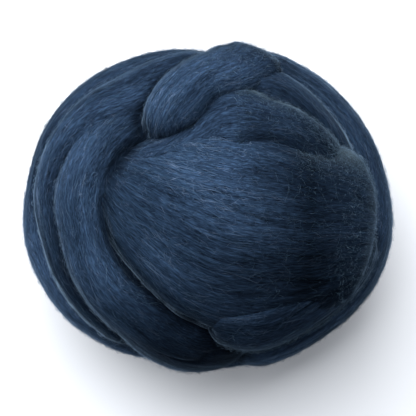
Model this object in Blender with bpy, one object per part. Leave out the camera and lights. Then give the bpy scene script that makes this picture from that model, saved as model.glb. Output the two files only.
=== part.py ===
# A length of combed wool roving wound by hand into a loose, flattened nest.
#
# The length is laid down as broad soft bands, each over a puffed core, and the bands
# press into one another, so the nest is one body with deep creases between its wraps.
# +X runs along the nest, +Z is up, and the nest stands on a small flat spot at z = 0.

import math
from collections import namedtuple

import bmesh
import bpy
import numpy as np
from mathutils import Matrix, Vector

MM = 0.001

# the puffed middle that the bands are wound over
CORE_CENTRE = (0.0, 0.0, 36.5)
CORE_RADII = (66.0, 57.0, 41.0)
CORE_SUBDIVISIONS = 4
# the power that makes its underside fuller than an ellipsoid's, because it settles as it stands
CORE_FULLNESS = 3.5

# how closely a band is drawn, the length over which its ends round off, and the share of
# that length at which they stop in a flat face
SECTION_STEP = 4.0
SECTION_SIDES = 28
END_ROUNDING = 9.0
END_FLAT = 0.15
# the power that makes a band's section flatter on top than an ellipse
FLATNESS = 0.72

# the fused surface: its drawing step, how often it is smoothed, and its triangles
FUSE_CELL = 1.6
SMOOTH_PASSES = 7
TRIANGLE_LIMIT = 11400
NODE_NAME = "roving"
WOOL_NAVY = (0.030, 0.061, 0.125, 1.0)

# A row is one section of a band: a point on its crown, half its width, half its depth, and how
# far its edges hang below its middle. Millimetres.
Section = namedtuple("Section", "x y z half_width half_depth sag")

BANDS = {
    "low_wrap": [
        Section(8, 60, 11, 14, 10, 2),
        Section(-24, 57, 9, 15, 10, 2),
        Section(-55, 37, 10, 15, 10, 2),
        Section(-68, 2, 8, 15, 10, 2),
        Section(-54, -37, 9, 16, 10, 2),
        Section(-20, -58, 11, 15, 10, 2),
        Section(20, -58, 9, 15, 10, 2),
        Section(54, -38, 10, 15, 10, 2),
        Section(68, 0, 12, 15, 10, 2),
        Section(53, 38, 9, 16, 10, 2),
        Section(20, 58, 12, 14, 10, 2),
        Section(-8, 58, 20, 12, 8, 2),
    ],
    "left_outer_wrap": [
        Section(26, 66, 40, 12, 9, 2),
        Section(6, 71, 45, 14, 10, 2),
        Section(-17, 72, 49, 15, 10, 2),
        Section(-39, 66, 49, 15, 10, 2),
        Section(-58, 54, 48, 15, 10, 2),
        Section(-72, 36, 46, 15, 10, 2),
        Section(-79, 13, 44, 14, 10, 2),
        Section(-80, -9, 43, 14, 10, 2),
        Section(-74, -28, 42, 14, 10, 2),
        Section(-62, -45, 41, 14, 10, 2),
        Section(-46, -56, 40, 13, 10, 2),
        Section(-31, -61, 37, 11, 10, 2),
        Section(-18, -61, 34, 8, 9, 2),
        Section(-6, -54, 30, 7, 7, 2),
    ],
    "left_upper_wrap": [
        Section(8, 64, 57, 11, 8, 1),
        Section(-6, 66, 62, 13, 9, 2),
        Section(-21, 60, 67, 15, 10, 3),
        Section(-35, 51, 71, 15, 10, 3),
        Section(-51, 42, 72, 12, 10, 2),
        Section(-63, 30, 68, 10, 9, 2),
        Section(-70, 17, 63, 9, 9, 2),
        Section(-72, 3, 60, 8, 8, 1),
        Section(-69, -13, 59, 7, 7, 1),
        Section(-64, -28, 58, 6, 7, 1),
        Section(-55, -42, 55, 6, 7, 1),
        Section(-44, -53, 50, 6, 7, 1),
        Section(-33, -60, 44, 6, 6, 1),
    ],
    "left_inner_wrap": [
        Section(-14, 51, 62, 7, 7, 1),
        Section(-24, 43, 70, 9, 8, 1),
        Section(-35, 37, 75, 13, 9, 1),
        Section(-46, 27, 76, 14, 10, 1),
        Section(-54, 14, 75, 14, 10, 1),
        Section(-57, 0, 73, 14, 10, 1),
        Section(-55, -14, 71, 13, 10, 1),
        Section(-51, -28, 69, 14, 10, 2),
        Section(-43, -41, 67, 15, 11, 2),
        Section(-31, -51, 64, 18, 12, 3),
        Section(-18, -60, 60, 20, 12, 3),
        Section(-4, -65, 56, 20, 12, 3),
        Section(9, -64, 50, 16, 11, 1),
        Section(20, -58, 43, 10, 8, 1),
    ],
    "back_wrap": [
        Section(38, 56, 26, 12, 8, 1),
        Section(29, 67, 44, 15, 10, 2),
        Section(19, 70, 61, 17, 10, 2),
        Section(8, 61, 74, 16, 10, 2),
        Section(-4, 53, 81, 14, 9, 2),
        Section(-12, 44, 85, 13, 9, 2),
        Section(-17, 37, 86, 12, 9, 2),
        Section(-20, 31, 84, 11, 9, 1),
        Section(-21, 25, 79, 11, 9, 1),
        Section(-20, 19, 71, 11, 8, 1),
        Section(-19, 14, 62, 10, 7, 1),
    ],
    "right_outer_wrap": [
        Section(6, 66, 50, 14, 9, 2),
        Section(25, 69, 52, 17, 10, 2),
        Section(44, 62, 50, 17, 10, 2),
        Section(61, 48, 47, 16, 10, 2),
        Section(73, 30, 45, 15, 10, 2),
        Section(79, 8, 44, 15, 10, 2),
        Section(79, -12, 43, 15, 10, 2),
        Section(73, -29, 42, 14, 10, 2),
        Section(62, -43, 41, 13, 10, 2),
        Section(49, -53, 41, 12, 10, 2),
        Section(35, -61, 41, 11, 10, 2),
        Section(21, -65, 40, 10, 10, 2),
        Section(9, -62, 36, 8, 8, 2),
        Section(-3, -54, 32, 7, 7, 2),
    ],
    "right_upper_wrap": [
        Section(2, 52, 64, 8, 7, 1),
        Section(15, 54, 69, 13, 9, 1),
        Section(29, 52, 70, 13, 9, 1),
        Section(42, 44, 69, 11, 9, 1),
        Section(52, 33, 67, 10, 9, 1),
        Section(59, 20, 65, 9, 9, 1),
        Section(65, 6, 61, 8, 9, 1),
        Section(67, -7, 55, 7, 8, 1),
    ],
    "top_wrap": [
        Section(-55, 30, 57, 7, 6, 1),
        Section(-47, 22, 68, 12, 7, 1),
        Section(-38, 15, 76, 21, 8, 2),
        Section(-28, 8, 82, 30, 10, 4),
        Section(-17, 2, 86, 36, 12, 5),
        Section(-4, -4, 88, 42, 13, 6),
        Section(10, -9, 88, 46, 14, 8),
        Section(26, -11, 86, 45, 14, 8),
        Section(41, -12, 83, 41, 13, 7),
        Section(54, -11, 79, 36, 12, 5),
        Section(65, -11, 72, 31, 10, 3),
        Section(72, -11, 62, 24, 9, 2),
    ],
    "top_back_fold": [
        Section(-35, 14, 72, 5, 5, 1),
        Section(-28, 17, 79, 7, 7, 1),
        Section(-20, 19, 82, 7, 7, 1),
        Section(-13, 22, 82, 8, 7, 1),
        Section(-6, 28, 82, 11, 8, 1),
        Section(1, 34, 83, 15, 9, 1),
        Section(12, 37, 83, 17, 10, 1),
        Section(25, 35, 81, 14, 10, 1),
        Section(36, 31, 80, 12, 9, 1),
        Section(47, 23, 78, 11, 9, 1),
        Section(56, 13, 74, 9, 8, 1),
        Section(62, 2, 69, 7, 7, 1),
    ],
    "top_front_fold": [
        Section(-3, -50, 70, 8, 8, 1),
        Section(6, -53, 71, 11, 9, 1),
        Section(20, -54, 70, 13, 10, 1),
        Section(32, -50, 70, 13, 10, 1),
        Section(44, -43, 70, 13, 10, 1),
        Section(56, -34, 68, 12, 9, 1),
        Section(65, -23, 65, 11, 8, 1),
        Section(71, -11, 61, 9, 7, 1),
    ],
}


def clear_scene():
    for leftover in list(bpy.data.objects):
        bpy.data.objects.remove(leftover, do_unlink=True)


def wool_material():
    wool = bpy.data.materials.new("navy_wool")
    wool.use_nodes = True
    shader = wool.node_tree.nodes["Principled BSDF"]
    shader.inputs["Base Color"].default_value = WOOL_NAVY
    shader.inputs["Roughness"].default_value = 0.9
    shader.inputs["Metallic"].default_value = 0.0
    return wool


def drawn_sections(rows):
    # a smooth curve through every column of the band's rows, one row per SECTION_STEP
    table = np.array(rows, dtype=float)
    padded = np.vstack([2 * table[0] - table[1], table, 2 * table[-1] - table[-2]])
    drawn = []
    for index in range(1, len(table)):
        before, start, end, after = padded[index - 1:index + 3]
        length = np.linalg.norm(end[:3] - start[:3])
        count = max(2, round(length / SECTION_STEP))
        for step in range(count):
            t = step / count
            drawn.append(0.5 * (
                2 * start
                + (end - before) * t
                + (2 * before - 5 * start + 4 * end - after) * t ** 2
                + (3 * start - before - 3 * end + after) * t ** 3
            ))
    drawn.append(table[-1])
    return np.array(drawn)


def nest_outward(point):
    # the way out of the nest at a point, square to the core's surface
    return Vector((
        (point[0] - CORE_CENTRE[0]) / CORE_RADII[0] ** 2,
        (point[1] - CORE_CENTRE[1]) / CORE_RADII[1] ** 2,
        (point[2] - CORE_CENTRE[2]) / CORE_RADII[2] ** 2,
    )).normalized()


def add_band(mesh, rows):
    # a flattened oval is carried along the band, bent down at its edges to lie on the nest
    sections = drawn_sections(rows)
    crowns = [Vector(row[:3]) for row in sections]
    travelled = np.concatenate([[0.0], np.cumsum([
        (second - first).length for first, second in zip(crowns, crowns[1:])
    ])])
    rings = []
    for index, row in enumerate(sections):
        crown = crowns[index]
        half_width, half_depth, sag = row[3:]
        ahead = crowns[min(index + 1, len(crowns) - 1)]
        behind = crowns[max(index - 1, 0)]
        along = (ahead - behind).normalized()
        outward = nest_outward(crown)
        outward = (outward - along * outward.dot(along)).normalized()
        across = along.cross(outward)
        to_end = min(travelled[index], travelled[-1] - travelled[index])
        rounding = math.sqrt(1 - (1 - min(1.0, END_FLAT + to_end / END_ROUNDING)) ** 2)
        ring = []
        for side in range(SECTION_SIDES):
            angle = 2 * math.pi * side / SECTION_SIDES
            sideways = rounding * math.cos(angle)
            upward = rounding * math.copysign(abs(math.sin(angle)) ** FLATNESS, math.sin(angle))
            lift = half_depth * (upward - 1) - sag * sideways ** 2
            point = crown + across * half_width * sideways + outward * lift
            ring.append(mesh.verts.new(point * MM))
        rings.append(ring)
    for near, far in zip(rings, rings[1:]):
        for side in range(SECTION_SIDES):
            following = (side + 1) % SECTION_SIDES
            mesh.faces.new((near[side], near[following], far[following], far[side]))
    mesh.faces.new(list(reversed(rings[0])))
    mesh.faces.new(rings[-1])


def add_core(mesh):
    ball = bmesh.ops.create_icosphere(mesh, subdivisions=CORE_SUBDIVISIONS, radius=1.0)
    for vert in ball["verts"]:
        spread = vert.co.xy.length
        if vert.co.z < 0 and spread > 0:
            fuller = (1 - abs(vert.co.z) ** CORE_FULLNESS) ** (1 / CORE_FULLNESS) / spread
            vert.co.xy = vert.co.xy * fuller
        vert.co = (Vector(CORE_CENTRE) + vert.co * Vector(CORE_RADII)) * MM


def evaluated_mesh(obj):
    graph = bpy.context.evaluated_depsgraph_get()
    return bpy.data.meshes.new_from_object(obj.evaluated_get(graph))


def keep_outer_body(mesh_data):
    # pockets shut in between the wraps are filled with wool, so only the outside is kept
    mesh = bmesh.new()
    mesh.from_mesh(mesh_data)
    unseen = set(mesh.verts)
    bodies = []
    while unseen:
        body = set()
        front = [unseen.pop()]
        while front:
            vert = front.pop()
            body.add(vert)
            for edge in vert.link_edges:
                other = edge.other_vert(vert)
                if other in unseen:
                    unseen.remove(other)
                    front.append(other)
        bodies.append(body)
    outside = max(bodies, key=len)
    spare = [vert for vert in mesh.verts if vert not in outside]
    bmesh.ops.delete(mesh, geom=spare, context="VERTS")
    mesh.to_mesh(mesh_data)
    mesh.free()


def fuse_bands():
    mesh = bmesh.new()
    add_core(mesh)
    for rows in BANDS.values():
        add_band(mesh, rows)
    bmesh.ops.recalc_face_normals(mesh, faces=mesh.faces)
    loose = bpy.data.meshes.new("loose_bands")
    mesh.to_mesh(loose)
    mesh.free()
    roving = bpy.data.objects.new(NODE_NAME, loose)
    bpy.context.scene.collection.objects.link(roving)
    fuse = roving.modifiers.new("fuse", "REMESH")
    fuse.mode = "VOXEL"
    fuse.voxel_size = FUSE_CELL * MM
    soften = roving.modifiers.new("soften", "SMOOTH")
    soften.factor = 0.5
    soften.iterations = SMOOTH_PASSES
    fused = evaluated_mesh(roving)
    roving.modifiers.clear()
    keep_outer_body(fused)
    roving.data = fused
    bpy.data.meshes.remove(loose)
    return roving


def thin_out(roving):
    triangles = sum(len(face.vertices) - 2 for face in roving.data.polygons)
    thinner = roving.modifiers.new("thinner", "DECIMATE")
    thinner.ratio = TRIANGLE_LIMIT / triangles
    thinner.use_collapse_triangulate = True
    thinned = evaluated_mesh(roving)
    roving.modifiers.clear()
    roving.data = thinned


def cut_flat_spot(roving):
    mesh = bmesh.new()
    mesh.from_mesh(roving.data)
    everything = list(mesh.verts) + list(mesh.edges) + list(mesh.faces)
    bmesh.ops.bisect_plane(
        mesh, geom=everything, plane_co=(0, 0, 0), plane_no=(0, 0, 1), clear_inner=True
    )
    rim = [edge for edge in mesh.edges if edge.is_boundary]
    bmesh.ops.edgeloop_fill(mesh, edges=rim)
    bmesh.ops.triangulate(mesh, faces=[face for face in mesh.faces if len(face.verts) > 4])
    bmesh.ops.recalc_face_normals(mesh, faces=mesh.faces)
    mesh.to_mesh(roving.data)
    mesh.free()


def centre_on_floor(roving):
    corners = np.array([vert.co for vert in roving.data.vertices])
    middle = (corners.min(axis=0) + corners.max(axis=0)) / 2
    roving.data.transform(Matrix.Translation((-middle[0], -middle[1], 0.0)))


def build_roving():
    clear_scene()
    roving = fuse_bands()
    thin_out(roving)
    cut_flat_spot(roving)
    centre_on_floor(roving)
    roving.data.name = NODE_NAME
    roving.data.materials.append(wool_material())
    roving.data.shade_smooth()
    return roving


build_roving()
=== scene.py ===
# A nest of navy combed wool, wound by hand from one length of roving: broad soft wraps,
# the combed fibres that run along them, and the fuzz and loose hairs that stand off them.
import math
from collections import namedtuple

import bpy
import numpy as np
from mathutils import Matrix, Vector


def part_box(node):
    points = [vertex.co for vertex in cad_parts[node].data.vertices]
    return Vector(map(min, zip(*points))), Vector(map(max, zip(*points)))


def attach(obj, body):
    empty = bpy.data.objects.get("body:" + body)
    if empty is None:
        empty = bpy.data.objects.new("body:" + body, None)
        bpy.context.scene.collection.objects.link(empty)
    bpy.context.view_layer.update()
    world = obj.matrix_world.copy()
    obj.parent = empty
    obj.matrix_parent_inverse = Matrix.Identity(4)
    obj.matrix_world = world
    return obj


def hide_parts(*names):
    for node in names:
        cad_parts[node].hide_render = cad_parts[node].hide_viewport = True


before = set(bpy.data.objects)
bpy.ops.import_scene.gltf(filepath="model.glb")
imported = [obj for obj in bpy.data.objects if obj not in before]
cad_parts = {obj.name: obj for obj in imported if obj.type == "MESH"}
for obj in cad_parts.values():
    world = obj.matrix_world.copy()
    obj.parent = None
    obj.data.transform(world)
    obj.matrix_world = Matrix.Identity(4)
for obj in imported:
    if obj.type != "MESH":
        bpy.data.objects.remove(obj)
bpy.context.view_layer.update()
print("frame loaded")

mm = 0.001

# The wraps have the same sections as the solid's, in millimetres. A row is a point on the wrap's
# crown, half its width, half its depth, and how far its edges hang below its middle.
Section = namedtuple("Section", "x y z halfWidth halfDepth sag")

wraps = {
    "lowWrap": [
        Section(8, 60, 11, 14, 10, 2),
        Section(-24, 57, 9, 15, 10, 2),
        Section(-55, 37, 10, 15, 10, 2),
        Section(-68, 2, 8, 15, 10, 2),
        Section(-54, -37, 9, 16, 10, 2),
        Section(-20, -58, 11, 15, 10, 2),
        Section(20, -58, 9, 15, 10, 2),
        Section(54, -38, 10, 15, 10, 2),
        Section(68, 0, 12, 15, 10, 2),
        Section(53, 38, 9, 16, 10, 2),
        Section(20, 58, 12, 14, 10, 2),
        Section(-8, 58, 20, 12, 8, 2),
    ],
    "leftOuterWrap": [
        Section(26, 66, 40, 12, 9, 2),
        Section(6, 71, 45, 14, 10, 2),
        Section(-17, 72, 49, 15, 10, 2),
        Section(-39, 66, 49, 15, 10, 2),
        Section(-58, 54, 48, 15, 10, 2),
        Section(-72, 36, 46, 15, 10, 2),
        Section(-79, 13, 44, 14, 10, 2),
        Section(-80, -9, 43, 14, 10, 2),
        Section(-74, -28, 42, 14, 10, 2),
        Section(-62, -45, 41, 14, 10, 2),
        Section(-46, -56, 40, 13, 10, 2),
        Section(-31, -61, 37, 11, 10, 2),
        Section(-18, -61, 34, 8, 9, 2),
        Section(-6, -54, 30, 7, 7, 2),
    ],
    "leftUpperWrap": [
        Section(8, 64, 57, 11, 8, 1),
        Section(-6, 66, 62, 13, 9, 2),
        Section(-21, 60, 67, 15, 10, 3),
        Section(-35, 51, 71, 15, 10, 3),
        Section(-51, 42, 72, 12, 10, 2),
        Section(-63, 30, 68, 10, 9, 2),
        Section(-70, 17, 63, 9, 9, 2),
        Section(-72, 3, 60, 8, 8, 1),
        Section(-69, -13, 59, 7, 7, 1),
        Section(-64, -28, 58, 6, 7, 1),
        Section(-55, -42, 55, 6, 7, 1),
        Section(-44, -53, 50, 6, 7, 1),
        Section(-33, -60, 44, 6, 6, 1),
    ],
    "leftInnerWrap": [
        Section(-14, 51, 62, 7, 7, 1),
        Section(-24, 43, 70, 9, 8, 1),
        Section(-35, 37, 75, 13, 9, 1),
        Section(-46, 27, 76, 14, 10, 1),
        Section(-54, 14, 75, 14, 10, 1),
        Section(-57, 0, 73, 14, 10, 1),
        Section(-55, -14, 71, 13, 10, 1),
        Section(-51, -28, 69, 14, 10, 2),
        Section(-43, -41, 67, 15, 11, 2),
        Section(-31, -51, 64, 18, 12, 3),
        Section(-18, -60, 60, 20, 12, 3),
        Section(-4, -65, 56, 20, 12, 3),
        Section(9, -64, 50, 16, 11, 1),
        Section(20, -58, 43, 10, 8, 1),
    ],
    "backWrap": [
        Section(38, 56, 26, 12, 8, 1),
        Section(29, 67, 44, 15, 10, 2),
        Section(19, 70, 61, 17, 10, 2),
        Section(8, 61, 74, 16, 10, 2),
        Section(-4, 53, 81, 14, 9, 2),
        Section(-12, 44, 85, 13, 9, 2),
        Section(-17, 37, 86, 12, 9, 2),
        Section(-20, 31, 84, 11, 9, 1),
        Section(-21, 25, 79, 11, 9, 1),
        Section(-20, 19, 71, 11, 8, 1),
        Section(-19, 14, 62, 10, 7, 1),
    ],
    "rightOuterWrap": [
        Section(6, 66, 50, 14, 9, 2),
        Section(25, 69, 52, 17, 10, 2),
        Section(44, 62, 50, 17, 10, 2),
        Section(61, 48, 47, 16, 10, 2),
        Section(73, 30, 45, 15, 10, 2),
        Section(79, 8, 44, 15, 10, 2),
        Section(79, -12, 43, 15, 10, 2),
        Section(73, -29, 42, 14, 10, 2),
        Section(62, -43, 41, 13, 10, 2),
        Section(49, -53, 41, 12, 10, 2),
        Section(35, -61, 41, 11, 10, 2),
        Section(21, -65, 40, 10, 10, 2),
        Section(9, -62, 36, 8, 8, 2),
        Section(-3, -54, 32, 7, 7, 2),
    ],
    "rightUpperWrap": [
        Section(2, 52, 64, 8, 7, 1),
        Section(15, 54, 69, 13, 9, 1),
        Section(29, 52, 70, 13, 9, 1),
        Section(42, 44, 69, 11, 9, 1),
        Section(52, 33, 67, 10, 9, 1),
        Section(59, 20, 65, 9, 9, 1),
        Section(65, 6, 61, 8, 9, 1),
        Section(67, -7, 55, 7, 8, 1),
    ],
    "topWrap": [
        Section(-55, 30, 57, 7, 6, 1),
        Section(-47, 22, 68, 12, 7, 1),
        Section(-38, 15, 76, 21, 8, 2),
        Section(-28, 8, 82, 30, 10, 4),
        Section(-17, 2, 86, 36, 12, 5),
        Section(-4, -4, 88, 42, 13, 6),
        Section(10, -9, 88, 46, 14, 8),
        Section(26, -11, 86, 45, 14, 8),
        Section(41, -12, 83, 41, 13, 7),
        Section(54, -11, 79, 36, 12, 5),
        Section(65, -11, 72, 31, 10, 3),
        Section(72, -11, 62, 24, 9, 2),
    ],
    "topBackFold": [
        Section(-35, 14, 72, 5, 5, 1),
        Section(-28, 17, 79, 7, 7, 1),
        Section(-20, 19, 82, 7, 7, 1),
        Section(-13, 22, 82, 8, 7, 1),
        Section(-6, 28, 82, 11, 8, 1),
        Section(1, 34, 83, 15, 9, 1),
        Section(12, 37, 83, 17, 10, 1),
        Section(25, 35, 81, 14, 10, 1),
        Section(36, 31, 80, 12, 9, 1),
        Section(47, 23, 78, 11, 9, 1),
        Section(56, 13, 74, 9, 8, 1),
        Section(62, 2, 69, 7, 7, 1),
    ],
    "topFrontFold": [
        Section(-3, -50, 70, 8, 8, 1),
        Section(6, -53, 71, 11, 9, 1),
        Section(20, -54, 70, 13, 10, 1),
        Section(32, -50, 70, 13, 10, 1),
        Section(44, -43, 70, 13, 10, 1),
        Section(56, -34, 68, 12, 9, 1),
        Section(65, -23, 65, 11, 8, 1),
        Section(71, -11, 61, 9, 7, 1),
    ],
}

# the middle that they are wound over, and the power that makes its underside fuller
nestCore = {"centre": (0.0, 0.0, 36.5), "radii": (66.0, 57.0, 41.0), "fullness": 3.5}
wrapForm = {
    "endRounding": 9.0,  # an end rounds off over this length
    "flatness": 0.72,  # the power that makes a section flatter on top than an ellipse
    "stepsPerRow": 40,  # how finely the curve through the rows is first drawn
}
# where the random draws start: the first wrap's, how far apart the wraps' are, and how far after
# its wrap's each kind starts. Strands take the wrap's own and the next two, and the loose hair,
# which isn't drawn wrap by wrap, has a start of its own.
seeds = {
    "firstWrap": 100,
    "perWrap": 20,
    "wander": 9,
    "parting": 12,
    "partingFade": 13,
    "lock": 15,
    "cloud": 30,
    "hair": 900,
}


def clearSelection():
    bpy.ops.object.select_all(action="DESELECT")


def unit(vectors):
    return vectors / np.maximum(np.linalg.norm(vectors, axis=-1, keepdims=True), 1e-9)


def eased(share):
    return share * share * (3 - 2 * share)


def wrapShape(rows):
    # a smooth curve through the rows, one sample each millimetre, with its ways across and out
    table = np.array(rows, float)
    padded = np.vstack([2 * table[0] - table[1], table, 2 * table[-1] - table[-2]])
    step = np.linspace(0, 1, wrapForm["stepsPerRow"], endpoint=False)[:, None]
    drawn = []
    for before, start, end, after in zip(padded, padded[1:], padded[2:], padded[3:]):
        drawn.append(0.5 * (
            2 * start
            + (end - before) * step
            + (2 * before - 5 * start + 4 * end - after) * step ** 2
            + (3 * start - before - 3 * end + after) * step ** 3
        ))
    curve = np.vstack(drawn + [table[-1:]])
    travelled = np.cumsum(np.linalg.norm(np.diff(curve[:, :3], axis=0), axis=1))
    travelled = np.concatenate([[0.0], travelled])
    run = np.linspace(0, travelled[-1], round(travelled[-1]) + 1)
    section = np.stack([np.interp(run, travelled, column) for column in curve.T], 1)
    crown = section[:, :3]
    along = unit(np.gradient(crown, axis=0))
    outward = (crown - nestCore["centre"]) / np.square(nestCore["radii"])
    outward = unit(outward - along * (outward * along).sum(1, keepdims=True))
    across = np.cross(along, outward)
    toEnd = np.minimum(run, run[-1] - run)
    rounding = np.sqrt(1 - (1 - np.minimum(1, toEnd / wrapForm["endRounding"])) ** 2)
    columns = np.hstack([crown, across, outward, section[:, 3:], rounding[:, None]])
    return {"run": run, "length": run[-1], "columns": columns}


def sectionAt(shape, run):
    # the crown, the ways across and out, and the sizes: half width, half depth, sag and rounding
    row = np.stack([np.interp(run, shape["run"], column) for column in shape["columns"].T], -1)
    return row[..., 0:3], row[..., 3:6], row[..., 6:9], row[..., 9:]


def onWrap(shape, run, angle):
    # angle goes round the section: 90 degrees is its crown
    crown, across, outward, sizes = sectionAt(shape, run)
    halfWidth, halfDepth, sag, rounding = (sizes[..., i:i + 1] for i in range(4))
    sideways = rounding * np.cos(angle)[..., None]
    rise = np.sin(angle)[..., None]
    upward = rounding * np.sign(rise) * np.abs(rise) ** wrapForm["flatness"]
    lift = halfDepth * (upward - 1) - sag * sideways ** 2
    return crown + across * halfWidth * sideways + outward * lift


def outOfWrap(shape, run, angle):
    # square to the surface, from a small step along the wrap and a small turn round it
    step, turn = 0.4, 0.02
    along = onWrap(shape, run + step, angle) - onWrap(shape, run - step, angle)
    around = onWrap(shape, run, angle + turn) - onWrap(shape, run, angle - turn)
    return unit(np.cross(along, around))


def combedNoise(seed, run, angle, runLength, lanes):
    # smooth noise drawn out along the fibres, which closes round the wrap
    random = np.random.default_rng(seed)
    lane = (angle / (2 * math.pi)) % 1 * lanes
    low = np.floor(lane).astype(int) % lanes
    place = np.maximum(run, 0) / runLength
    knots = random.uniform(-1, 1, (lanes, int(place.max()) + 3))
    start = random.uniform(0, 1, lanes)

    def laneValue(index):
        shifted = place + start[index]
        knot = np.floor(shifted).astype(int)
        share = eased(shifted - knot)
        return knots[index, knot] * (1 - share) + knots[index, knot + 1] * share

    share = eased(lane - np.floor(lane))
    return laneValue(low) * (1 - share) + laneValue((low + 1) % lanes) * share


def gapTo(points, shape):
    # how far points lie outside a wrap, and at what share of its run they are nearest to it
    end = wrapForm["endRounding"]
    between = (shape["run"] >= end) & (shape["run"] <= shape["length"] - end)
    columns = shape["columns"][between][::2]
    runShare = shape["run"][between][::2] / shape["length"]
    crown, across, outward = (columns[:, i:i + 3] for i in (0, 3, 6))
    halfWidth, halfDepth, sag = (columns[:, i] for i in (9, 10, 11))
    along = np.cross(outward, across)
    middle = crown - outward * halfDepth[:, None]
    gap, nearestShare = np.empty(len(points)), np.empty(len(points))
    power = 2 / wrapForm["flatness"] - 0.2  # near enough the section's own form
    atOnce = 4000  # points, to keep the memory small
    for start in range(0, len(points), atOnce):
        chunk = points[start:start + atOnce]
        nearest = ((chunk[:, None] - middle[None]) ** 2).sum(2).argmin(1)
        offset = chunk - middle[nearest]
        side = (offset * across[nearest]).sum(1) / halfWidth[nearest]
        rise = (offset * outward[nearest]).sum(1) + sag[nearest] * np.minimum(side ** 2, 1)
        rise = rise / halfDepth[nearest]
        past = (offset * along[nearest]).sum(1) / end
        powers = np.abs(side) ** power + np.abs(rise) ** power + np.abs(past) ** power
        share = np.maximum(powers ** (1 / power), 0.05)  # 1 on the wrap's surface
        gap[start:start + atOnce] = (1 - 1 / share) * np.linalg.norm(offset, axis=1)
        nearestShare[start:start + atOnce] = runShare[nearest]
    return gap, nearestShare


# where wraps press together, both turn in to make the crease; its sizes are in millimetres
crease = {
    "depth": 2.4,
    "width": 2.6,
    # how far the painted shade beside a crease reaches
    "shadeWidth": 4.5,
    "atOutline": 0.3,  # how much of its depth is left where a wrap turns down
    "upright": 0.6,  # and how far up the surface has to face for all of it
    "filled": 0.5,  # a meeting this far below 0 isn't dark at all
    "earlyToLate": [0.12, 0.35, 0.6],  # the shares of the run that a meeting's columns stand for
    "alongStep": 2.5,  # the tables' spacing, in millimetres and degrees
    "turnStep": 5,
}
# how deep the crease between two wraps is, early, midway and late in the first one's run: below 0
# it is filled, so that they run into each other. shade is how dark the shade painted in it is.
Meeting = namedtuple("Meeting", "early midway late shade")
plainMeeting = Meeting(1.0, 1.0, 1.0, 1.0)
meetings = {
    ("leftUpperWrap", "leftOuterWrap"): Meeting(-0.5, -0.5, 0.4, 0.6),
    ("leftOuterWrap", "lowWrap"): Meeting(0.2, 0.2, 0.2, 0.7),
    ("rightUpperWrap", "rightOuterWrap"): Meeting(-0.4, -0.4, -0.4, 0.0),
    ("rightOuterWrap", "lowWrap"): Meeting(0.2, 0.2, 0.2, 0.7),
    ("leftInnerWrap", "leftUpperWrap"): Meeting(-0.5, -0.1, 0.9, 1.0),
    ("leftInnerWrap", "topWrap"): Meeting(1.0, 0.2, 1.0, 1.0),
    ("topFrontFold", "topWrap"): Meeting(-0.5, -0.5, -0.5, 0.0),
    ("topBackFold", "topWrap"): Meeting(-0.2, -0.2, 0.4, 0.3),
    ("topBackFold", "rightUpperWrap"): Meeting(0.2, 0.2, 0.6, 0.6),
    ("backWrap", "rightUpperWrap"): Meeting(-0.4, 0.0, 0.3, 0.5),
    ("backWrap", "topBackFold"): Meeting(-0.2, 0.2, 0.2, 0.45),
    ("backWrap", "topWrap"): Meeting(0.2, 0.2, 0.4, 0.6),
    ("backWrap", "rightOuterWrap"): Meeting(-0.4, -0.4, -0.2, 0.2),
}


def meetingTables(name):
    # the gap to the nearest other wrap, how deep the crease is and its painted shade, all over this
    # one
    shape = shapes[name]
    run = np.linspace(0, shape["length"], round(shape["length"] / crease["alongStep"]))
    angle = np.radians(np.arange(0, 360, crease["turnStep"]))
    place = np.meshgrid(run, angle, indexing="ij")
    points = onWrap(shape, *place).reshape(-1, 3)
    ownShare = (place[0] / shape["length"]).ravel()
    nearest = np.full(len(points), 99.0)  # farther than any wrap
    deepest, fullest, darkest = np.zeros((3, len(points)))
    for other, otherShape in shapes.items():
        if other == name:
            continue
        gap, otherShare = gapTo(points, otherShape)
        meeting = meetings.get((name, other), meetings.get((other, name), plainMeeting))
        firstShare = otherShare if (other, name) in meetings else ownShare
        depth = np.interp(firstShare, crease["earlyToLate"], meeting[:3])
        outside = np.maximum(gap, 0)
        here = depth * np.exp(-np.square(outside / crease["width"]))
        deepest, fullest = np.maximum(deepest, here), np.minimum(fullest, here)
        # the painted shade beside the crease, fading over shadeWidth
        shade = meeting.shade * np.clip(depth + crease["filled"], 0, 1)
        shade = shade * np.exp(-np.square(outside / crease["shadeWidth"]))
        darkest = np.maximum(darkest, shade)
        nearest = np.minimum(nearest, gap)
    facingUp = outOfWrap(shape, *place).reshape(-1, 3)[:, 2]
    facingUp = np.clip(facingUp / crease["upright"], crease["atOutline"], 1)
    shape["gap"] = nearest.reshape(len(run), len(angle))
    shape["crease"] = ((deepest + fullest) * facingUp).reshape(len(run), len(angle))
    shape["packed"] = darkest.reshape(len(run), len(angle))


def lookUp(shape, kind, run, angle):
    # a wrap's table read between its rows and columns, which close round the wrap
    table = shape[kind]
    row = np.clip(run / shape["length"], 0, 1) * (table.shape[0] - 1.001)  # short of the last
    column = (angle / (2 * math.pi)) % 1 * table.shape[1]
    low, left = np.floor(row).astype(int), np.floor(column).astype(int) % table.shape[1]
    down, right = row - np.floor(row), column - np.floor(column)
    after = (left + 1) % table.shape[1]
    upper = table[low, left] * (1 - right) + table[low, after] * right
    lower = table[low + 1, left] * (1 - right) + table[low + 1, after] * right
    return upper * (1 - down) + lower * down


# strands in the combed surface: how long, how wide and how high, in millimetres
strandSizes = [
    {"runLength": 60.0, "width": 9.0, "height": 0.50},
    {"runLength": 38.0, "width": 3.6, "height": 0.28},
    {"runLength": 22.0, "width": 1.7, "height": 0.14},
]
# thin lines where the combed wool parts, which come and go along the wrap
parting = {
    "runLength": 70.0,
    "spacing": 8.0,
    "halfWidth": 0.055,
    "depth": 0.9,
    # how much darker the painted shade in a parting is
    "shade": 0.8,
    "fadeLength": 30.0,
    "fadeContrast": 2,  # how suddenly they come and go
    "fadeMiddle": 0.4,  # and how much of them shows midway
    "endLength": 18.0,
}
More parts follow.
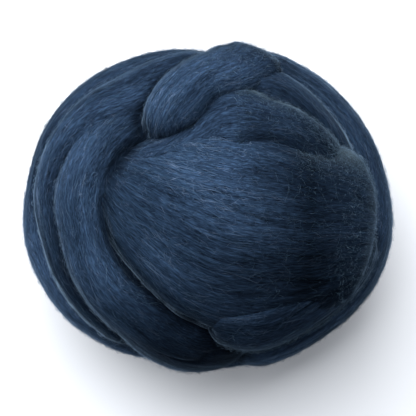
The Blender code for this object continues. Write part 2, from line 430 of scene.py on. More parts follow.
# how far the strands wander round the wrap, in radians
wander = {"turn": 0.10, "runLength": 45.0, "lanes": 5}
# the outer wraps are pulled into plainer strands than the broad top one
plainStrandShare = 1.5
strandShare = {
    "topWrap": 0.8, "topBackFold": 0.8, "topFrontFold": 0.8, "leftInnerWrap": 1.1, "backWrap": 1.3,
}

# painted light and shade: how light the wool is painted at the start, quarters and end of a wrap,
# as the light falls on it, and how much lighter or darker its edge at 0 degrees is than its crown
PaintedLight = namedtuple("PaintedLight", "start quarter half threeQuarters end edge")
paintedLightOnWraps = {
    "lowWrap": PaintedLight(1.2, 0.8, 1.1, 1.3, 1.2, 1.0),
    "leftOuterWrap": PaintedLight(0.8, 0.75, 0.8, 2.2, 1.3, 0.8),
    "leftUpperWrap": PaintedLight(0.7, 0.95, 1.15, 0.95, 0.9, 1.0),
    "leftInnerWrap": PaintedLight(0.7, 1.35, 1.4, 0.35, 0.12, 1.15),
    "backWrap": PaintedLight(0.9, 0.1, 1.45, 1.25, 0.6, 1.0),
    "rightOuterWrap": PaintedLight(1.0, 0.9, 1.5, 2.4, 2.0, 0.8),
    "rightUpperWrap": PaintedLight(0.9, 0.75, 0.7, 0.9, 1.0, 0.8),
    "topWrap": PaintedLight(0.2, 1.1, 1.3, 0.25, 0.85, 0.55),
    "topBackFold": PaintedLight(1.1, 1.05, 0.75, 0.4, 0.6, 1.0),
    "topFrontFold": PaintedLight(0.7, 0.62, 0.6, 0.62, 0.7, 1.1),
}
# and it takes the dye in soft clouds: how long and how wide they are, and how strong
cloudiness = {"runLength": 32.0, "width": 13.0, "strength": 0.3}
recessShadeLevel = 0.4  # how light the wool is painted in the shade of a crease


def lanesOf(shape, width):
    # how many lines of a width go round a wrap
    return max(8, round(2 * math.pi * shape["meanHalfWidth"] / width))


def cloudsAndPaintedLightAt(name, run, angle):
    # painted light and shade along and across the wrap, with random dye clouds over it
    lightAndShade = paintedLightOnWraps[name]
    shape = shapes[name]
    alongIt = np.interp(run / shape["length"], [0, 0.25, 0.5, 0.75, 1], lightAndShade[:5])
    acrossIt = 1 + (lightAndShade.edge - 1) * np.clip(np.cos(angle), 0, 1)
    lanes = lanesOf(shape, cloudiness["width"])
    seed = shape["seed"] + seeds["cloud"]
    cloud = combedNoise(seed, run, angle, cloudiness["runLength"], lanes)
    return alongIt * acrossIt * (1 + cloudiness["strength"] * cloud)


def partingAt(shape, run, angle):
    # 1 at the bottom of a parting, 0 away from it
    lanes = lanesOf(shape, parting["spacing"])
    seed = shape["seed"] + seeds["parting"]
    line = combedNoise(seed, run, angle, parting["runLength"], lanes)
    seed = shape["seed"] + seeds["partingFade"]
    fade = combedNoise(seed, run, angle, parting["fadeLength"], lanes)
    shown = np.clip(fade * parting["fadeContrast"] + parting["fadeMiddle"], 0, 1)
    toEnd = np.minimum(run, shape["length"] - run) / parting["endLength"]
    return np.exp(-np.square(line / parting["halfWidth"])) * shown * np.clip(toEnd, 0, 1)


def cloudsPaintedLightAndShadeAt(name, run, angle):
    # the dye clouds and painted light, with painted shade where wraps meet in a crease or the wool
    # parts
    shape = shapes[name]
    parted = parting["shade"] * partingAt(shape, run, angle)
    packed = np.maximum(lookUp(shape, "packed", run, angle), parted)
    return cloudsAndPaintedLightAt(name, run, angle) * (1 - (1 - recessShadeLevel) * np.clip(packed, 0, 1))


# where paler hair ends gather in a haze, with painted sheen on lit fuzz: share of the run from
# and to, the angle round the wrap and its spread in degrees, and how much of the colour is theirs
HazeAndSheenPatch = namedtuple("HazeAndSheenPatch", "wrap runFrom runTo angle spread share")
hazeAndSheenPatches = [
    HazeAndSheenPatch("leftOuterWrap", 0.50, 0.95, 60, 40, 0.16),
    HazeAndSheenPatch("leftInnerWrap", 0.38, 0.77, 14, 16, 0.42),
    HazeAndSheenPatch("rightOuterWrap", 0.50, 1.00, 110, 40, 0.20),
    HazeAndSheenPatch("topWrap", 0.66, 0.99, 162, 18, 0.30),
    HazeAndSheenPatch("topWrap", 0.90, 1.10, 90, 90, 0.16),
    HazeAndSheenPatch("topBackFold", 0.42, 1.00, 150, 18, 0.30),
    HazeAndSheenPatch("topFrontFold", 0.00, 1.00, 16, 20, 0.30),
]
# the outermost wraps are painted paler where they turn down, a painted sheen of their fuzz seen
# edge on
paintedEdgeSheen = {
    "lowWrap": 0.1,
    "leftOuterWrap": 0.05,
    "leftUpperWrap": 0.08,
    "rightOuterWrap": 0.05,
    "backWrap": 0.15,
}
# a wrap turns down where its surface faces up less than this, and a patch fades over this share
hazeAndSheenFade = {"turnedDown": 0.7, "runShare": 0.08}


def hazeAndPaintedSheenAt(name, run, angle):
    # pale hair ends, and painted sheen where the wool turns down or its fuzz catches the light
    shape = shapes[name]
    facingUp = outOfWrap(shape, run, angle)[..., 2]
    steep = np.clip((hazeAndSheenFade["turnedDown"] - facingUp) / hazeAndSheenFade["turnedDown"], 0, 1)
    hazeAndSheen = paintedEdgeSheen.get(name, 0.0) * steep ** 2
    share = run / shape["length"]
    for patch in hazeAndSheenPatches:
        if patch.wrap == name:
            inside = np.minimum(share - patch.runFrom, patch.runTo - share)
            window = np.clip(inside / hazeAndSheenFade["runShare"], 0, 1)
            turned = (np.degrees(angle) - patch.angle + 180) % 360 - 180
            here = patch.share * eased(window) * np.exp(-np.square(turned / patch.spread))
            hazeAndSheen = np.maximum(hazeAndSheen, here)
    return hazeAndSheen


def combedPoint(shape, run, angle, lift=0.0):
    # a point on the wrap with its strands raised, and lift more above that
    seed = shape["seed"] + seeds["wander"]
    wandering = combedNoise(seed, run, angle, wander["runLength"], wander["lanes"])
    wandered = angle + wander["turn"] * wandering
    raised = 0
    for index, strand in enumerate(strandSizes):
        lanes = lanesOf(shape, strand["width"])
        noise = combedNoise(shape["seed"] + index, run, wandered, strand["runLength"], lanes)
        raised = raised + strand["height"] * noise
    raised = raised * shape["strandShare"] - parting["depth"] * partingAt(shape, run, wandered)
    rounding = sectionAt(shape, run)[3][..., 3] ** 2
    out = outOfWrap(shape, run, angle)
    height = raised * rounding + lift - crease["depth"] * lookUp(shape, "crease", run, angle)
    return onWrap(shape, run, angle) + out * height[..., None]


def centredShapes():
    # the wraps as smooth shapes, moved so that they lie in the middle of the solid's box
    shapes = {}
    for index, (name, rows) in enumerate(wraps.items()):
        shapes[name] = wrapShape(rows)
        shapes[name]["seed"] = seeds["firstWrap"] + seeds["perWrap"] * index
        shapes[name]["strandShare"] = strandShare.get(name, plainStrandShare)
        shapes[name]["meanHalfWidth"] = float(np.mean(shapes[name]["columns"][:, 9]))
    low, high = [], []
    for shape in shapes.values():
        run, angle = np.meshgrid(shape["run"], np.radians(np.arange(0, 360, 6)))
        points = onWrap(shape, run, angle).reshape(-1, 3)
        low.append(points.min(0))
        high.append(points.max(0))
    middle = (np.min(low, 0) + np.max(high, 0)) / 2
    solidLow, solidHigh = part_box("roving")
    wanted = np.array(solidLow + solidHigh) / 2 / mm
    for shape in shapes.values():
        shape["columns"][:, :2] += (wanted - middle)[:2]
    return shapes


shapes = centredShapes()
for name in shapes:
    meetingTables(name)
lengths = [f"{name} {shape['length']:.0f} mm" for name, shape in shapes.items()]
print("wraps laid out:", ", ".join(lengths))


def hexLinear(code):
    parts = [int(code[i:i + 2], 16) / 255 for i in (1, 3, 5)]
    return [p / 12.92 if p <= 0.04045 else ((p + 0.055) / 1.055) ** 2.4 for p in parts] + [1.0]


def addNode(tree, kind, settings=None, values=None, links=None):
    # a node with its settings, its socket values and what is linked into it
    node = tree.nodes.new(kind)
    for key, value in (settings or {}).items():
        setattr(node, key, value)
    for key, value in (values or {}).items():
        node.inputs[key].default_value = value
    for key, socket in (links or {}).items():
        tree.links.new(socket, node.inputs[key])
    return node


def colourRamp(tree, stops, factor):
    ramp = addNode(tree, "ShaderNodeValToRGB", links={"Fac": factor})
    while len(ramp.color_ramp.elements) < len(stops):
        ramp.color_ramp.elements.new(0.5)
    for element, (place, code) in zip(ramp.color_ramp.elements, stops):
        element.position = place
        element.color = hexLinear(code)
    return ramp.outputs["Color"]


# the colours between the fibres, of the wool, of its lightest fibres and of pale hair ends with
# painted sheen, and how the surface takes the light
woolLook = {
    "shadow": "#090f17",
    "body": "#1a2637",
    "bright": "#2b3e56",
    "hazeAndSheen": "#6a7e8b",
    "roughness": 0.85,
    "specular": 0.0,
    "sheen": 0.65,
    "sheenRoughness": 0.3,
    "sheenTint": "#8daac8",
    "grainRoughness": 0.6,
    "bumpStrength": 0.8,
    "bumpHeight": 0.3,  # millimetres
}


def woolSurface(name):
    # dyed merino top, carded and combed: matt and deep, with a soft bloom where it turns away
    material = bpy.data.materials.new(name)
    material.use_nodes = True
    tree = material.node_tree
    shader = tree.nodes["Principled BSDF"]
    shader.inputs["Metallic"].default_value = 0.0
    shader.inputs["Roughness"].default_value = woolLook["roughness"]
    shader.inputs["IOR"].default_value = 1.54  # keratin
    shader.inputs["Specular IOR Level"].default_value = woolLook["specular"]
    shader.inputs["Sheen Weight"].default_value = woolLook["sheen"]
    shader.inputs["Sheen Roughness"].default_value = woolLook["sheenRoughness"]
    shader.inputs["Sheen Tint"].default_value = hexLinear(woolLook["sheenTint"])
    return material, tree, shader


def shaded(tree, colour):
    # the colour scaled by its dye clouds and painted light and shade, under pale hair ends and
    # painted sheen
    shade = addNode(tree, "ShaderNodeAttribute", {"attribute_name": "cloudsAndPaintedShade"})
    hazeAndSheen = addNode(tree, "ShaderNodeAttribute", {"attribute_name": "hazeAndPaintedSheen"})
    scaled = addNode(
        tree, "ShaderNodeVectorMath", {"operation": "SCALE"},
        links={"Vector": colour, "Scale": shade.outputs["Fac"]},
    ).outputs["Vector"]
    return addNode(
        tree, "ShaderNodeMix", {"data_type": "RGBA"}, {"B": hexLinear(woolLook["hazeAndSheen"])},
        {"Factor": hazeAndSheen.outputs["Fac"], "A": scaled},
    ).outputs["Result"]


def fibreLines(tree, place, grain):
    # noise drawn out along the fibres
    stretched = addNode(
        tree, "ShaderNodeMapping", values={"Scale": (1 / grain.along, 1 / grain.across, 1.0)},
        links={"Vector": place},
    )
    return addNode(
        tree, "ShaderNodeTexNoise",
        values={"Scale": 1.0, "Detail": grain.detail, "Roughness": woolLook["grainRoughness"]},
        links={"Vector": stretched.outputs["Vector"]},
    ).outputs["Fac"]


# the grain of the combed face: the length and width of its lines in millimetres, and their share
# of the whole. Real fibres are 0.02 mm thick, and the finest lines are drawn 0.4 mm wide to show.
Grain = namedtuple("Grain", "along across detail share")
fineGrain = Grain(3.5, 0.4, 3.0, 0.55)
strandGrains = [Grain(14.0, 1.1, 2.0, 0.25), Grain(40.0, 3.6, 2.0, 0.2)]


def combedWool():
    # the combed face of a wrap: short fine fibres over broader strands, darker between them
    material, tree, shader = woolSurface("combedNavyWool")
    place = addNode(tree, "ShaderNodeAttribute", {"attribute_name": "combedPlace"})
    place = place.outputs["Vector"]
    height = addNode(tree, "ShaderNodeMath", {"operation": "MULTIPLY"}, {1: fineGrain.share}, {
        0: fibreLines(tree, place, fineGrain),
    }).outputs[0]
    for grain in strandGrains:
        height = addNode(tree, "ShaderNodeMath", {"operation": "MULTIPLY_ADD"}, {1: grain.share}, {
            0: fibreLines(tree, place, grain), 2: height,
        }).outputs[0]
    colour = colourRamp(tree, [
        (0.36, woolLook["shadow"]), (0.5, woolLook["body"]), (0.64, woolLook["bright"]),
    ], height)
    tree.links.new(shaded(tree, colour), shader.inputs["Base Color"])
    bump = addNode(
        tree, "ShaderNodeBump", links={"Height": height},
        values={"Strength": woolLook["bumpStrength"], "Distance": woolLook["bumpHeight"] * mm},
    )
    tree.links.new(bump.outputs["Normal"], shader.inputs["Normal"])
    return material


def fibreWool(name, stops):
    # dyed wool fibres: each has its own depth of colour
    material, tree, shader = woolSurface(name)
    tone = addNode(tree, "ShaderNodeAttribute", {"attribute_name": "fibreTone"})
    colour = colourRamp(tree, stops, tone.outputs["Fac"])
    tree.links.new(shaded(tree, colour), shader.inputs["Base Color"])
    return material


combedNavyWool = combedWool()
dyedWoolFibre = fibreWool("dyedWoolFibre", [
    (0.0, "#080d13"), (0.4, "#182434"), (0.7, "#2a3e54"), (1.0, "#515f74"),
])
# hair that stands off the wool catches the light along its length, so it looks paler
looseWoolHair = fibreWool("looseWoolHair", [(0.0, "#1c2b38"), (0.5, "#334655"), (1.0, "#5d7080")])
print("materials made")


def finishPiece(piece, material):
    piece.data.materials.clear()
    piece.data.materials.append(material)
    piece.data.shade_smooth()
    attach(piece, "root")
    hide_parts("roving")


def setPoints(mesh, points):
    mesh.vertices.foreach_set("co", (points * mm).astype(np.float32).ravel())
    mesh.update()


def setPointValues(mesh, name, kind, values):
    attribute = mesh.attributes.new(name, kind, "POINT")
    key = "vector" if kind == "FLOAT_VECTOR" else "value"
    attribute.data.foreach_set(key, values.astype(np.float32).ravel())


def addBall(name, segments, rings):
    # a ball to be shaped, and its points
    clearSelection()
    bpy.ops.mesh.primitive_uv_sphere_add(segments=segments, ring_count=rings, radius=1.0)
    ball = bpy.context.object
    ball.name = name
    points = np.empty(len(ball.data.vertices) * 3, np.float32)
    ball.data.vertices.foreach_get("co", points)
    return ball, points.reshape(-1, 3).astype(float)


def dressSurface(piece, points, place, shade, hazeAndSheen):
    # a shaped ball gets its points, the place of its fibre lines in millimetres, and its colouring
    setPoints(piece.data, points)
    setPointValues(piece.data, "combedPlace", "FLOAT_VECTOR", place)
    # its dye clouds with painted light and shade, and pale hair ends with painted sheen
    setPointValues(piece.data, "cloudsAndPaintedShade", "FLOAT", shade)
    setPointValues(piece.data, "hazeAndPaintedSheen", "FLOAT", hazeAndSheen)
    piece.data.uv_layers[0].name = "OFBake"
    finishPiece(piece, combedNavyWool)
    return len(piece.data.polygons) * 2


# spacing of a wrap's rings and of its points at the crown, and how much they crowd towards it
wrapMesh = {"ringSpacing": 1.6, "crownSpacing": 0.62, "crowding": 0.55}


def addWrap(name):
    shape = shapes[name]
    rings = round(shape["length"] / wrapMesh["ringSpacing"])
    widest = float(shape["columns"][:, 9].max())
    around = 2 * math.pi * widest * (1 - wrapMesh["crowding"]) / wrapMesh["crownSpacing"]
    wrap, ball = addBall(name, round(around), rings)
    # the ball's poles become the wrap's ends, and its segments crowd towards the crown
    run = np.arccos(np.clip(ball[:, 2], -1, 1)) / math.pi * shape["length"]
    turn = (np.arctan2(ball[:, 1], ball[:, 0]) + math.pi / 2) % (2 * math.pi) - math.pi / 2
    angle = turn - wrapMesh["crowding"] * np.sin(turn - math.pi / 2)
    place = np.stack([run, angle * shape["meanHalfWidth"], np.full(len(run), shape["seed"])], 1)
    return dressSurface(
        wrap, combedPoint(shape, run, angle), place,
        cloudsPaintedLightAndShadeAt(name, run, angle), hazeAndPaintedSheenAt(name, run, angle),
    )


triangles = sum(addWrap(name) for name in shapes)
print("wraps made:", triangles, "triangles")

# the wool inside shows only in the deepest creases and underneath, so it is painted with crease
# shade
innerMesh = {"segments": 96, "rings": 64, "mapHeight": 60.0}


def addInnerWool():
    inner, ball = addBall("innerWool", innerMesh["segments"], innerMesh["rings"])
    # its underside is fuller than an ellipsoid's, because it settles as it stands
    power = nestCore["fullness"]
    spread = np.maximum(np.linalg.norm(ball[:, :2], axis=1), 1e-6)
    full = np.maximum(1 - np.abs(ball[:, 2]) ** power, 0) ** (1 / power) / spread
    ball[:, :2] *= np.where(ball[:, 2] < 0, full, 1)[:, None]
    points = ball * nestCore["radii"] + nestCore["centre"]
    points[:, 2] = np.maximum(points[:, 2], 0)  # the flat spot it rests on
    turn = (np.arctan2(ball[:, 1], ball[:, 0]) + math.pi / 2) % (2 * math.pi)
    upwards = ball[:, 2] * innerMesh["mapHeight"]
    place = np.stack([turn * nestCore["radii"][0], upwards, np.zeros(len(ball))], 1)
    noHazeOrSheen = np.zeros(len(ball))
    return dressSurface(inner, points, place, np.full(len(ball), recessShadeLevel), noHazeOrSheen)


print("inner wool made:", addInnerWool(), "triangles")


# how far from a wrap's ends fibres start, and how near to them they may reach
endMargin = {"start": 2.0, "reach": 0.5}


def withinEnds(shape, runs):
    return np.clip(runs, endMargin["reach"], shape["length"] - endMargin["reach"])


def keepInSight(shape, run, angle, coat):
    # none is laid where wraps press together, or against the ground
    keep = lookUp(shape, "gap", run, angle) > -coat["deepest"]
    keep &= onWrap(shape, run, angle)[:, 2] > coat["aboveGround"]
    return run[keep], angle[keep]


def reachOf(shape, run, angle):
    # how far a turn of one radian moves a point round the section, a millimetre at the least
    sizes = sectionAt(shape, run)[3]
    return np.hypot(sizes[:, 0] * np.sin(angle), sizes[:, 1] * np.cos(angle)) + 1.0


def fibrePaths(name, count, coat, random):
    # each fibre follows its wrap, crimped, a little astray, and sunk in at its ends
    shape = shapes[name]
    start = endMargin["start"]
    run = random.uniform(start, shape["length"] - start, count)
    edge = random.uniform(-coat["overEdge"], math.pi + coat["overEdge"], count)
    flat = np.arccos(random.uniform(-1, 1, count))
    angle = np.where(random.uniform(0, 1, count) < coat["crownShare"], flat, edge)
    run, angle = keepInSight(shape, run, angle, coat)
    count = len(run)
    reach = reachOf(shape, run, angle)
    length = random.uniform(coat["shortest"], coat["longest"], count)
    astray = random.normal(0, math.radians(coat["astray"]), count)
    share = np.linspace(-0.5, 0.5, coat["points"])[None]
    runs = run[:, None] + share * (length * np.cos(astray))[:, None]
    bend = random.normal(0, coat["bend"], count)[:, None] * (share * 2) ** 2
    phase = random.uniform(0, 2 * math.pi, count)[:, None]
    crimps = share * length[:, None] / coat["crimpLength"]
    crimp = coat["crimp"] * np.sin(phase + crimps * 2 * math.pi)
    sideways = share * (length * np.sin(astray))[:, None] + bend + crimp
    angles = angle[:, None] + sideways / reach[:, None]
    height = random.uniform(0, 1, count)[:, None] ** 2
    height = coat["lowest"] + (coat["highest"] - coat["lowest"]) * height
    lift = height * np.cos(share * math.pi) - coat["sunk"]
    runs = withinEnds(shape, runs)
    lanes = lanesOf(shape, coat["lockWidth"])
    seed = shape["seed"] + seeds["lock"]
    lock = coat["lockTone"] * combedNoise(seed, run, angle, coat["lockLength"], lanes)
    # the fibres take the dye clouds, painted light and shade, and painted sheen of the wrap below
    look = {"cloudsAndPaintedShade": cloudsPaintedLightAndShadeAt(name, run, angle), "hazeAndPaintedSheen": hazeAndPaintedSheenAt(name, run, angle)}
    return combedPoint(shape, runs, angles, lift), lock, look, outOfWrap(shape, run, angle)


def addFibres(name, paths, radius, look, material, facing=None):
    # a joined mesh of three-sided fibres with pointed ends, laid out as one array
    count, points = paths.shape[:2]
    rings = points - 2
    along = unit(np.gradient(paths, axis=1))
    # any direction that isn't along the fibre gives the two that are square to it
    helper = np.where(np.abs(along[..., 2:]) < 0.8, [[[0.0, 0.0, 1.0]]], [[[1.0, 0.0, 0.0]]])
    first = unit(np.cross(along, helper))
    second = np.cross(along, first)
    corners = (np.arange(3) * 2 * math.pi / 3)[:, None]
    spoke = first[:, 1:-1, None] * np.cos(corners) + second[:, 1:-1, None] * np.sin(corners)
    ringPoints = paths[:, 1:-1, None] + spoke * radius[:, None, None, None]
    vertices = np.concatenate([paths[:, :1], ringPoints.reshape(count, -1, 3), paths[:, -1:]], 1)
    perFibre = 2 + 3 * rings
    # one fibre's faces, with each corner's place on its own small patch of the map
    faces, patch = [], []
    for side in range(3):
        after = (side + 1) % 3
        faces.append((0, 1 + after, 1 + side))
        patch.append(((side + 0.5, 0), (side + 1, 1), (side, 1)))
        for ring in range(rings - 1):
            low, high = 1 + 3 * ring, 4 + 3 * ring
            faces.append((low + side, low + after, high + after))
            faces.append((low + side, high + after, high + side))
            patch.append(((side, ring + 1), (side + 1, ring + 1), (side + 1, ring + 2)))
            patch.append(((side, ring + 1), (side + 1, ring + 2), (side, ring + 2)))
        last = 1 + 3 * (rings - 1)
        faces.append((last + side, last + after, perFibre - 1))
        patch.append(((side, rings), (side + 1, rings), (side + 0.5, rings + 1)))
    faces = np.array(faces)
    patch = np.array(patch, float) / (3, rings + 1)
    offsets = (np.arange(count) * perFibre)[:, None, None]
    allFaces = (faces[None] + offsets).reshape(-1)
    mesh = bpy.data.meshes.new(name)
    mesh.vertices.add(count * perFibre)
    mesh.loops.add(len(allFaces))
    mesh.polygons.add(len(allFaces) // 3)
    mesh.polygons.foreach_set("loop_start", np.arange(0, len(allFaces), 3))
    mesh.loops.foreach_set("vertex_index", allFaces)
    setPoints(mesh, vertices.reshape(-1, 3))
    # every fibre has its own cell of the map, with a margin round it
    grid, margin = math.ceil(math.sqrt(count)), 0.08
    cell = np.stack([np.arange(count) % grid, np.arange(count) // grid], 1)
    uv = (cell[:, None, None] + margin + (1 - 2 * margin) * patch[None]) / grid
    mesh.uv_layers.new(name="OFBake").uv.foreach_set("vector", uv.astype(np.float32).ravel())
    for key, values in look.items():
        setPointValues(mesh, key, "FLOAT", np.repeat(values, perFibre))
    mesh.validate()
    fibres = bpy.data.objects.new(name, mesh)
    bpy.context.scene.collection.objects.link(fibres)
    finishPiece(fibres, material)
    if facing is not None:
        # fibres that lie on the wool take the light as its surface does, not as round wires
        mesh.normals_split_custom_set_from_vertices(np.repeat(facing, perFibre, axis=0))
    return len(mesh.polygons)


# the combed fibres, and a shorter fuzz that lies less straight and stands off the wool. Lengths
# are in millimetres, and a fibre is drawn 0.1 mm thick, five times the real one, to show.
combedCoat = {
    "name": "Fibres",
    "perSquareCentimetre": 38,
    "points": 4,
    "shortest": 6.0,
    "longest": 18.0,
    "astray": 13.0,  # degrees
    "bend": 0.8,
    "crimp": 0.14,
    "crimpLength": 11.0,
    "overEdge": 0.6,  # how far they go past the wrap's edges, in radians
    "crownShare": 0.45,  # how many are spread over its width, the others round its girth
    "lowest": 0.15,
    "highest": 0.6,
    "sunk": 0.15,  # how deep their ends lie
    "deepest": 1.0,  # how far inside another wrap they still start
    "aboveGround": 1.5,
    "radius": 0.05,
    "tone": 0.45,
    "toneSpread": 0.19,
    "lockWidth": 1.6,  # locks of fibres share a tone
    "lockLength": 26.0,
    "lockTone": 0.26,
}
fuzzCoat = combedCoat | {
    "name": "Fuzz",
    "perSquareCentimetre": 90,
    "points": 3,
    "shortest": 2.0,
    "longest": 6.0,
    "astray": 36.0,
    "lowest": 0.3,
    "highest": 1.6,
    "radius": 0.04,
    "tone": 0.5,
    "toneSpread": 0.25,
}
thickness = (0.7, 1.3)  # the finest and the coarsest fibre, as shares of the radius
coveredGirth = 2.6  # how much of a wrap's girth is covered, in half widths


def coverWrap(name, coat):
    shape = shapes[name]
    random = np.random.default_rng(shape["seed"] + coat["points"])
    area = shape["length"] * coveredGirth * shape["meanHalfWidth"] / 100  # square centimetres
    count = round(area * coat["perSquareCentimetre"])
    paths, lock, look, facing = fibrePaths(name, count, coat, random)
    tone = random.normal(coat["tone"], coat["toneSpread"], len(paths)) + lock
    radius = coat["radius"] * random.uniform(*thickness, len(paths))
    look = look | {"fibreTone": np.clip(tone, 0, 1)}
    return addFibres(name + coat["name"], paths, radius, look, dyedWoolFibre, facing)


# loose hair: fine, curled, and standing off the wool, more of it where the wool was handled
curledHair = {
    "name": "curledHair",
    "points": 6,
    "shortest": 3.0,
    "longest": 9.0,
    "curl": 0.9,
    "curlShares": (0.3, 1),  # the least and the most of it that a hair has
    "curlTurns": (0.5, 1.6),
    "highest": 1.2,
    "heightShares": (0.2, 1),
    "bow": (1.6, 3.0),  # how far round its bow a hair goes, in radians
    "sunk": 0.2,
    "deepest": 0.5,
    "aboveGround": 3.0,
    "radius": 0.028,
    "tone": 0.22,
    "toneSpread": 0.2,
}
# shorter ends that stand out from the edges in a haze
shortHair = curledHair | {
    "name": "shortHair",
    "points": 4,
    "shortest": 1.2,
    "longest": 3.5,
    "curl": 0.4,
    "highest": 2.2,
    "tone": 0.55,
}
# where it lies: share of the run from and to, the angle round the wrap and its spread, how many
# hairs, and how far they turn away from the wrap's line. Angles are in degrees.
HairPatch = namedtuple("HairPatch", "wrap runFrom runTo angle spread count astray")
curledPatches = [
    HairPatch("leftOuterWrap", 0.00, 1.00, 50, 60, 400, 25),
    HairPatch("leftUpperWrap", 0.00, 1.00, 70, 60, 250, 25),
    HairPatch("leftInnerWrap", 0.00, 0.70, 80, 70, 400, 30),
    HairPatch("backWrap", 0.00, 1.00, 90, 60, 250, 25),
    HairPatch("rightOuterWrap", 0.00, 1.00, 130, 60, 450, 25),
    HairPatch("rightUpperWrap", 0.00, 1.00, 100, 60, 200, 25),
    HairPatch("lowWrap", 0.00, 1.00, 60, 80, 400, 25),
    HairPatch("topWrap", 0.05, 0.60, 90, 75, 500, 25),
    HairPatch("topWrap", 0.60, 1.00, 90, 80, 400, 60),
    HairPatch("topBackFold", 0.40, 0.98, 90, 60, 350, 50),
    HairPatch("topFrontFold", 0.10, 1.00, 60, 60, 150, 45),
]
shortPatches = [
    HairPatch("lowWrap", 0.00, 1.00, 10, 60, 6000, 80),
    HairPatch("leftOuterWrap", 0.05, 1.00, 8, 34, 1200, 80),
    HairPatch("leftInnerWrap", 0.35, 0.90, 10, 24, 1500, 80),
    HairPatch("backWrap", 0.10, 0.60, 90, 90, 900, 80),
    HairPatch("rightOuterWrap", 0.05, 1.00, 172, 34, 1500, 80),
    HairPatch("topWrap", 0.72, 1.00, 150, 26, 1200, 80),
    HairPatch("topWrap", 0.84, 1.00, 90, 90, 800, 80),
    HairPatch("topBackFold", 0.45, 0.98, 110, 26, 1000, 80),
    HairPatch("topFrontFold", 0.00, 1.00, 12, 30, 1800, 80),
]


def hairPaths(patch, hair, random):
    # each hair starts in the wool, bows out of it and curls
    shape = shapes[patch.wrap]
    start = endMargin["start"]
    run = random.uniform(patch.runFrom, patch.runTo, patch.count)
    run = run * (shape["length"] - 2 * start) + start
    deviation = patch.spread / 1.6  # nine hairs in ten lie within the spread
    angle = np.radians(random.normal(patch.angle, deviation, patch.count))
    run, angle = keepInSight(shape, run, angle, hair)
    count = len(run)
    reach = reachOf(shape, run, angle)[:, None]
    length = random.uniform(hair["shortest"], hair["longest"], count)[:, None]
    heading = np.radians(random.normal(0, patch.astray, count))[:, None]
    share = np.linspace(0, 1, hair["points"])[None]
    curlPhase = random.uniform(0, 2 * math.pi, count)[:, None]
    curl = hair["curl"] * random.uniform(*hair["curlShares"], count)[:, None] * share
    curls = random.uniform(*hair["curlTurns"], count)[:, None] * 2 * math.pi
    alongHair = share * length + curl * np.sin(curlPhase + curls * share)
    sideways = curl * np.cos(curlPhase + curls * share)
    runs = run[:, None] + alongHair * np.cos(heading) - sideways * np.sin(heading)
    runs = withinEnds(shape, runs)
    across = alongHair * np.sin(heading) + sideways * np.cos(heading)
    angles = angle[:, None] + across / reach
    height = hair["highest"] * random.uniform(*hair["heightShares"], count)[:, None]
    bow = random.uniform(*hair["bow"], count)[:, None]
    lift = height * np.sin(share * bow) - hair["sunk"]
    return combedPoint(shape, runs, angles, lift)


def addHair(hair, patches):
    random = np.random.default_rng(seeds["hair"] + hair["points"])
    paths = np.concatenate([hairPaths(patch, hair, random) for patch in patches])
    tone = random.normal(hair["tone"], hair["toneSpread"], len(paths))
    radius = hair["radius"] * random.uniform(*thickness, len(paths))
    look = {
        "fibreTone": np.clip(tone, 0, 1),
        "cloudsAndPaintedShade": np.ones(len(paths)),
        "hazeAndPaintedSheen": np.zeros(len(paths)),
    }
    return addFibres(hair["name"], paths, radius, look, looseWoolHair)


for coat in (combedCoat, fuzzCoat):
    fibreTriangles = [coverWrap(name, coat) for name in shapes]
    print(coat["name"], "made:", sum(fibreTriangles), "triangles, most", max(fibreTriangles))
for hair, patches in ((curledHair, curledPatches), (shortHair, shortPatches)):
    print(hair["name"], "made:", addHair(hair, patches), "triangles")


floorPaper = {"size": 6.0, "colour": "#b4b7bc", "roughness": 0.9, "glow": 0.4}


def addFloor():
    clearSelection()
    bpy.ops.mesh.primitive_plane_add(size=floorPaper["size"])
    floor = bpy.context.object
    floor.name = "floor"
    # matt white paper, which glows a little because the room lights it from all round
    paper = bpy.data.materials.new("whiteBackgroundPaper")
    paper.use_nodes = True
    shader = paper.node_tree.nodes["Principled BSDF"]
    shader.inputs["Base Color"].default_value = hexLinear(floorPaper["colour"])
    shader.inputs["Roughness"].default_value = floorPaper["roughness"]
    shader.inputs["Emission Color"].default_value = hexLinear(floorPaper["colour"])
    shader.inputs["Emission Strength"].default_value = floorPaper["glow"]
    floor.data.materials.append(paper)


# the room is brighter round the horizon, where its white walls are, up to the height of wallTop
room = {"colour": "#e9f0fa", "overhead": 0.1, "horizon": 0.45, "wallFoot": 0.05, "wallTop": 0.6}
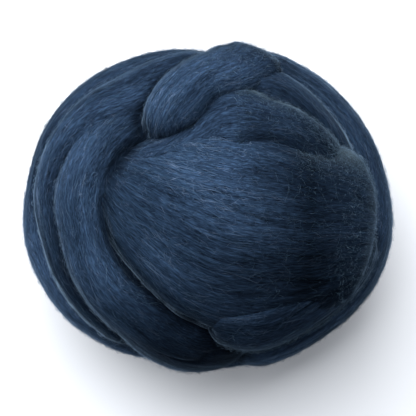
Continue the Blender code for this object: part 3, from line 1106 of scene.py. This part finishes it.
# the window is large and soft, behind and to the left. Angles are in degrees, lengths in metres.
keyLight = {"power": 76.0, "size": 1.7, "azimuth": 117.0, "elevation": 54.0, "distance": 1.3}
overheadView = {
    "lens": 100.0,
    "sensorWidth": 36.0,
    "distance": 0.502,
    "aim": (0.0, 0.0, 0.042),
    "elevation": 80.0,
}


def addLight():
    world = bpy.data.worlds.new("softRoom")
    world.use_nodes = True
    background = world.node_tree.nodes["Background"]
    background.inputs["Color"].default_value = hexLinear(room["colour"])
    tree = world.node_tree
    direction = addNode(tree, "ShaderNodeTexCoord").outputs["Generated"]
    height = addNode(tree, "ShaderNodeSeparateXYZ", links={"Vector": direction}).outputs["Z"]
    strength = addNode(tree, "ShaderNodeMapRange", {"interpolation_type": "SMOOTHSTEP"}, {
        "From Min": room["wallFoot"], "From Max": room["wallTop"],
        "To Min": room["horizon"], "To Max": room["overhead"],
    }, {"Value": height})
    tree.links.new(strength.outputs["Result"], background.inputs["Strength"])
    bpy.context.scene.world = world
    lamp = bpy.data.lights.new("windowLight", "AREA")
    lamp.energy = keyLight["power"]
    lamp.size = keyLight["size"]
    window = bpy.data.objects.new("windowLight", lamp)
    turn, rise = math.radians(keyLight["azimuth"]), math.radians(keyLight["elevation"])
    level = math.cos(rise)
    towards = Vector((math.cos(turn) * level, math.sin(turn) * level, math.sin(rise)))
    window.location = towards * keyLight["distance"]
    facing = Vector(overheadView["aim"]) - window.location
    window.rotation_euler = facing.to_track_quat("-Z", "Y").to_euler()
    bpy.context.scene.collection.objects.link(window)


def addCamera():
    lens = bpy.data.cameras.new("overheadCamera")
    lens.lens = overheadView["lens"]
    lens.sensor_width = overheadView["sensorWidth"]
    camera = bpy.data.objects.new("overheadCamera", lens)
    tilt = math.radians(overheadView["elevation"])
    back = Vector((0.0, -math.cos(tilt), math.sin(tilt)))
    camera.location = Vector(overheadView["aim"]) + back * overheadView["distance"]
    camera.rotation_euler = (-back).to_track_quat("-Z", "Y").to_euler()
    bpy.context.scene.collection.objects.link(camera)
    bpy.context.scene.camera = camera


addFloor()
addLight()
addCamera()
bpy.context.scene.view_settings.view_transform = "Standard"
print("stage, light and camera set")
